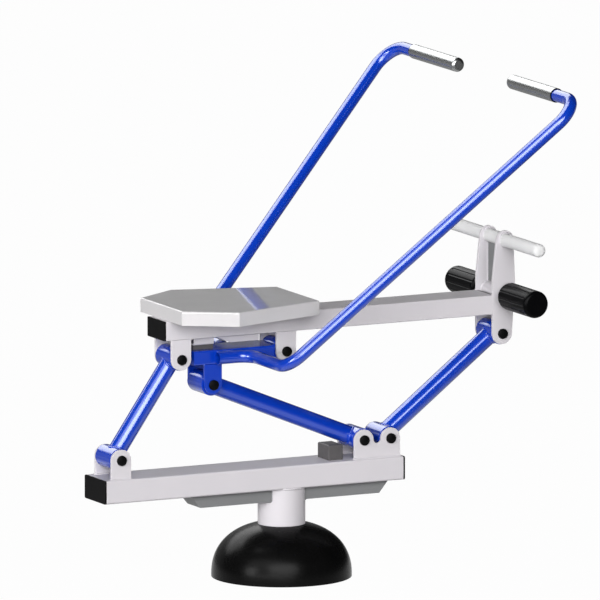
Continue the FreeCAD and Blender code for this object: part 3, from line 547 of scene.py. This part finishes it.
def lacquered_steel(name, coat_colour, worn_colour):
    """Powder coat under a clear gloss lacquer, polished by use: mirrors at a low angle."""
    wear_mm = 70.0
    material = empty_material(name)
    place = add_node(material, "ShaderNodeTexCoord").outputs["Object"]
    wear = add_node(material, "ShaderNodeTexNoise", {"Scale": per_metre(wear_mm), "Detail": 4.0},
                    {"Vector": place}).outputs["Fac"]
    tone = add_node(material, "ShaderNodeMix",
                    {"data_type": "RGBA", MIX_FIRST: linear(coat_colour), MIX_SECOND: linear(worn_colour)},
                    {MIX_SHARE: wear}).outputs[MIXED]
    gloss = add_node(material, "ShaderNodeMapRange", {"To Min": 0.38, "To Max": 0.46},
                     {"Value": wear}).outputs["Result"]
    paint = add_node(material, "ShaderNodeBsdfPrincipled",
                     {"IOR": 1.5, "Specular IOR Level": 0.06, "Coat Weight": 1.0, "Coat Roughness": 0.05,
                      "Coat IOR": 1.5},
                     {"Base Color": tone, "Roughness": gloss}).outputs["BSDF"]
    add_node(material, "ShaderNodeOutputMaterial", {}, {"Surface": paint})
    return material


finish_nodes(lacquered_steel("lacquered_silver", "#CDCACC", "#C2C1C2"), ("seat_pan", "seat_supports"))

# Grips on the ends of the handles.
# Stainless steel tube with a closed, rounded end, brushed round its axis and pressed over the handle against
# a black rubber ring, whose dark line is painted shade for the step between grip and handle.


def brushed_stainless():
    """Stainless steel, brushed round the axis: a satin metal with fine rings across its length."""
    steel_colour = linear("#969898")
    bright_colour = linear("#A4A6A6")
    # The brush marks are about 0.2 mm apart. They are drawn at 1.5 mm, so that they show.
    brush_mm = 1.5
    # How much longer a mark is round the axis than it is wide.
    stretch = 40.0
    material = empty_material("brushed_stainless")
    place = add_node(material, "ShaderNodeTexCoord").outputs["Object"]
    squeezed = add_node(material, "ShaderNodeMapping", {"Scale": (1 / stretch, 1.0, 1 / stretch)},
                        {"Vector": place}).outputs["Vector"]
    brush = add_node(material, "ShaderNodeTexNoise", {"Scale": per_metre(brush_mm), "Detail": 2.0},
                     {"Vector": squeezed}).outputs["Fac"]
    tone = add_node(material, "ShaderNodeMix",
                    {"data_type": "RGBA", MIX_FIRST: steel_colour, MIX_SECOND: bright_colour},
                    {MIX_SHARE: brush}).outputs[MIXED]
    gloss = add_node(material, "ShaderNodeMapRange", {"To Min": 0.24, "To Max": 0.32},
                     {"Value": brush}).outputs["Result"]
    metal = add_node(material, "ShaderNodeBsdfPrincipled", {"Metallic": 1.0},
                     {"Base Color": tone, "Roughness": gloss}).outputs["BSDF"]
    add_node(material, "ShaderNodeOutputMaterial", {}, {"Surface": metal})
    return material


finish_nodes(brushed_stainless(), ("grip_left", "grip_right"))

# The black rubber rings are painted shade: their dark line stands for the shade in the step where each grip
# meets its handle.
ring_cord_radius_mm = 1.5
ring_swell = 0.0
# The cord is squashed against the handle by half of its radius.
ring_radius = handle_radius + 0.5 * ring_cord_radius_mm * MM
# The ring's ends overlap a little, so that it closes.
ring_degrees = 365
grip_low, grip_high = box_of("grip_left")
grip_axis = (grip_low + grip_high) / 2
grip_gap_shade_rings = []
for side in (-1, 1):
    centre = Vector((grip_axis.x, side * (grip_high.y + ring_cord_radius_mm * MM), grip_axis.z))
    grip_gap_shade_rings.append(curved(centre, Vector((ring_radius, 0, 0)), Vector((0, 0, ring_radius)),
                             0, ring_degrees))
rolls("grip_gap_shade_rings", grip_gap_shade_rings, ring_cord_radius_mm, ring_swell, black_rubber, "handle_lever")

# Pivot bolts, nuts, sleeves, bearings, the seat's screws and the foot rollers' axle pieces.
# Turned and rolled steel with a zinc coat, clamped between the ears and mostly hidden by the covers.


def zinc_plate():
    """Bright zinc on turned steel: a bluish grey satin metal with a cloudy sheen."""
    zinc_colour = linear("#B9BCC0")
    dull_colour = linear("#A2A5A8")
    cloud_mm = 12.0
    material = empty_material("zinc_plate")
    place = add_node(material, "ShaderNodeTexCoord").outputs["Object"]
    cloud = add_node(material, "ShaderNodeTexNoise", {"Scale": per_metre(cloud_mm), "Detail": 4.0},
                     {"Vector": place}).outputs["Fac"]
    tone = add_node(material, "ShaderNodeMix",
                    {"data_type": "RGBA", MIX_FIRST: zinc_colour, MIX_SECOND: dull_colour},
                    {MIX_SHARE: cloud}).outputs[MIXED]
    gloss = add_node(material, "ShaderNodeMapRange", {"To Min": 0.28, "To Max": 0.45},
                     {"Value": cloud}).outputs["Result"]
    metal = add_node(material, "ShaderNodeBsdfPrincipled", {"Metallic": 1.0},
                     {"Base Color": tone, "Roughness": gloss}).outputs["BSDF"]
    add_node(material, "ShaderNodeOutputMaterial", {}, {"Surface": metal})
    return material


zinc_endings = ("_bolts", "_nuts", "_sleeves", "_bearings", "seat_screws", "roller_axle", "roller_spacers",
                "roller_retainers")
finish_nodes(zinc_plate(), [name for name in nodes if name.endswith(zinc_endings)])

# Cores of the foot rollers.
# Turned nylon, a sliding fit on the steel axle and kept on it by the retainers. The rubber sleeves close over
# their outer ends.


def turned_nylon():
    """Cream nylon off the lathe: slightly waxy, with fine turning rings."""
    nylon_colour = linear("#D8D3C4")
    ring_colour = linear("#CBC6B6")
    ring_mm = 1.0
    material = empty_material("turned_nylon")
    place = add_node(material, "ShaderNodeTexCoord").outputs["Object"]
    rings = add_node(material, "ShaderNodeTexWave", {"Scale": per_metre(ring_mm), "bands_direction": "Y"},
                     {"Vector": place}).outputs["Fac"]
    tone = add_node(material, "ShaderNodeMix",
                    {"data_type": "RGBA", MIX_FIRST: nylon_colour, MIX_SECOND: ring_colour},
                    {MIX_SHARE: rings}).outputs[MIXED]
    wax = add_node(material, "ShaderNodeBsdfPrincipled", {"IOR": 1.53, "Roughness": 0.42},
                   {"Base Color": tone}).outputs["BSDF"]
    add_node(material, "ShaderNodeOutputMaterial", {}, {"Surface": wax})
    return material


finish_nodes(turned_nylon(), ("roller_core_left", "roller_core_right"))

# Studio floor: a wide flat floor in pale matt paint.
# It is white to the camera but for a light shadow under the machine. In reflections it is white in a pool
# round the machine, paler towards the back and plain grey elsewhere.

floor_half_size = 60.0
floor_whiteness = 0.98
pool_radius = 1.6
# Share of the pool's radius, from its rim inwards, over which it comes up to white.
pool_fade = 0.4
sweep_depth = 2.5
sweep_brightness = 0.35
floor_shape = bmesh.new()
bmesh.ops.create_grid(floor_shape, x_segments=1, y_segments=1, size=floor_half_size)
floor_mesh = bpy.data.meshes.new("studio_floor")
floor_shape.to_mesh(floor_mesh)
floor_shape.free()
floor = bpy.data.objects.new("studio_floor", floor_mesh)
bpy.context.scene.collection.objects.link(floor)

floor_paint = empty_material("pale_floor_paint")
floor_ray = add_node(floor_paint, "ShaderNodeLightPath").outputs
place = add_node(floor_paint, "ShaderNodeTexCoord").outputs["Object"]
scaled = add_node(floor_paint, "ShaderNodeMapping", {"Scale": (1 / pool_radius, 1 / pool_radius, 1.0)},
                  {"Vector": place}).outputs["Vector"]
inwards = add_node(floor_paint, "ShaderNodeTexGradient", {"gradient_type": "SPHERICAL"},
                   {"Vector": scaled}).outputs["Fac"]
pool = add_node(floor_paint, "ShaderNodeMapRange", {"From Max": pool_fade},
                {"Value": inwards}).outputs["Result"]
depth = add_node(floor_paint, "ShaderNodeSeparateXYZ", {}, {"Vector": place}).outputs["Y"]
sweep = add_node(floor_paint, "ShaderNodeMapRange", {"From Max": sweep_depth, "To Max": sweep_brightness},
                 {"Value": depth}).outputs["Result"]
glow = add_node(floor_paint, "ShaderNodeMath", {"operation": "MAXIMUM"},
                {0: pool, 1: sweep}).outputs["Value"]
reflected = add_node(floor_paint, "ShaderNodeMath", {"operation": "MULTIPLY"},
                     {0: floor_ray["Is Glossy Ray"], 1: glow}).outputs["Value"]
seen = add_node(floor_paint, "ShaderNodeMath", {"operation": "MAXIMUM"},
                {0: floor_ray["Is Camera Ray"], 1: reflected}).outputs["Value"]
shown = add_node(floor_paint, "ShaderNodeMath", {"operation": "MAXIMUM"},
                 {0: seen, 1: floor_ray["Is Transmission Ray"]}).outputs["Value"]
pale = add_node(floor_paint, "ShaderNodeBsdfDiffuse", {"Color": linear("#A8A8A8")}).outputs["BSDF"]
white = add_node(floor_paint, "ShaderNodeEmission", {"Strength": 1.0}).outputs["Emission"]
whitened = add_node(floor_paint, "ShaderNodeMixShader", {"Fac": floor_whiteness},
                    {1: pale, 2: white}).outputs["Shader"]
surface = add_node(floor_paint, "ShaderNodeMixShader", {},
                   {0: shown, 1: pale, 2: whitened}).outputs["Shader"]
add_node(floor_paint, "ShaderNodeOutputMaterial", {}, {"Surface": surface})
floor.data.materials.append(floor_paint)

# Studio surround: a dim grey room, so that the gloss keeps its dark reflections.
# Where the camera looks past the floor, straight or through something clear, it is white like the floor.

world = bpy.data.worlds.new("studio_surround")
bpy.context.scene.world = world
world.use_nodes = True
world.node_tree.nodes.clear()
world_ray = add_node(world, "ShaderNodeLightPath").outputs
dim = add_node(world, "ShaderNodeBackground", {"Color": linear("#2A2A2A")}).outputs["Background"]
bright = add_node(world, "ShaderNodeBackground", {"Color": linear("#FFFFFF")}).outputs["Background"]
looked_at = add_node(world, "ShaderNodeMath", {"operation": "MAXIMUM"},
                     {0: world_ray["Is Camera Ray"], 1: world_ray["Is Transmission Ray"]}).outputs["Value"]
around = add_node(world, "ShaderNodeMixShader", {}, {0: looked_at, 1: dim, 2: bright}).outputs["Shader"]
add_node(world, "ShaderNodeOutputWorld", {}, {"Surface": around})

# Studio lamps: softboxes that light the machine and show in its gloss.
# The fills only lighten the shadows, and the cards and the wall only show in reflections. None of them is
# seen by the camera.

lamp_distance = 20.0
object_centre = (cad_box[0] + cad_box[1]) / 2


def direction(azimuth, elevation):
    """Unit vector from the machine, azimuth 0 towards -Y and 90 towards +X, in degrees."""
    turn = math.radians(azimuth)
    rise = math.radians(elevation)
    return Vector((math.sin(turn) * math.cos(rise), -math.cos(turn) * math.cos(rise), math.sin(rise)))


def stand_facing(fitting, aim, azimuth, elevation, distance):
    """Stand a lamp or a camera at a distance from the place that it faces."""
    away = direction(azimuth, elevation)
    bpy.context.scene.collection.objects.link(fitting)
    fitting.location = aim + away * distance
    fitting.rotation_mode = "QUATERNION"
    fitting.rotation_quaternion = away.to_track_quat("Z", "Y")


def softbox(name, azimuth, elevation, width, height, level, lights=True, mirrored=True):
    """Rectangular lamp, its place and size in degrees as seen from the machine. A level of 1 lights a white
    surface that faces it to white. One that doesn't light only shows in reflections, and one that isn't
    mirrored only lights."""
    lamp = bpy.data.lights.new(name, "AREA")
    lamp.shape = "RECTANGLE"
    lamp.size = 2 * lamp_distance * math.tan(math.radians(width / 2))
    lamp.size_y = 2 * lamp_distance * math.tan(math.radians(height / 2))
    lamp.energy = level * (math.pi * lamp_distance) ** 2
    fitting = bpy.data.objects.new(name, lamp)
    stand_facing(fitting, object_centre, azimuth, elevation, lamp_distance)
    fitting.visible_camera = False
    fitting.visible_diffuse = lights
    fitting.visible_glossy = mirrored


# Each lamp's name, azimuth, elevation, width, height and level.
softbox("key_softbox", -23.0, 21.5, 46.0, 24.0, 0.95)
softbox("front_softbox", -36.0, 4.0, 60.0, 7.0, 0.40)
softbox("left_softbox", -78.0, 10.0, 18.0, 16.0, 0.40)
softbox("rear_fill", 140.0, 3.5, 90.0, 6.0, 0.75, mirrored=False)
softbox("left_fill", -125.0, 3.5, 40.0, 6.0, 0.18, mirrored=False)
softbox("front_card", -46.0, 30.0, 72.0, 28.0, 0.75, lights=False)
softbox("back_wall", 180.0, 8.0, 70.0, 15.0, 0.035, lights=False)
softbox("back_card", -176.0, 35.0, 58.0, 26.0, 0.66, lights=False)
softbox("overhead_card", -136.0, 60.0, 38.0, 32.0, 0.8, lights=False)

# Camera of the photograph.
# It stands far off with a long lens, so that parallel edges stay parallel, and takes in the photograph's
# frame.

camera_azimuth = -26.325
camera_elevation = 9.468
frame_width = 1.519
lens_mm = 1500.0
aim = Vector((0.0593, 0.0141, 0.7004))
camera_data = bpy.data.cameras.new("photo_camera")
camera_data.lens = lens_mm
camera_distance = lens_mm * frame_width / camera_data.sensor_width
# The view reaches well past the machine, to the far floor.
camera_data.clip_end = 4 * camera_distance
camera = bpy.data.objects.new("photo_camera", camera_data)
stand_facing(camera, aim, camera_azimuth, camera_elevation, camera_distance)
bpy.context.scene.camera = camera
bpy.context.scene.view_settings.view_transform = "Standard"
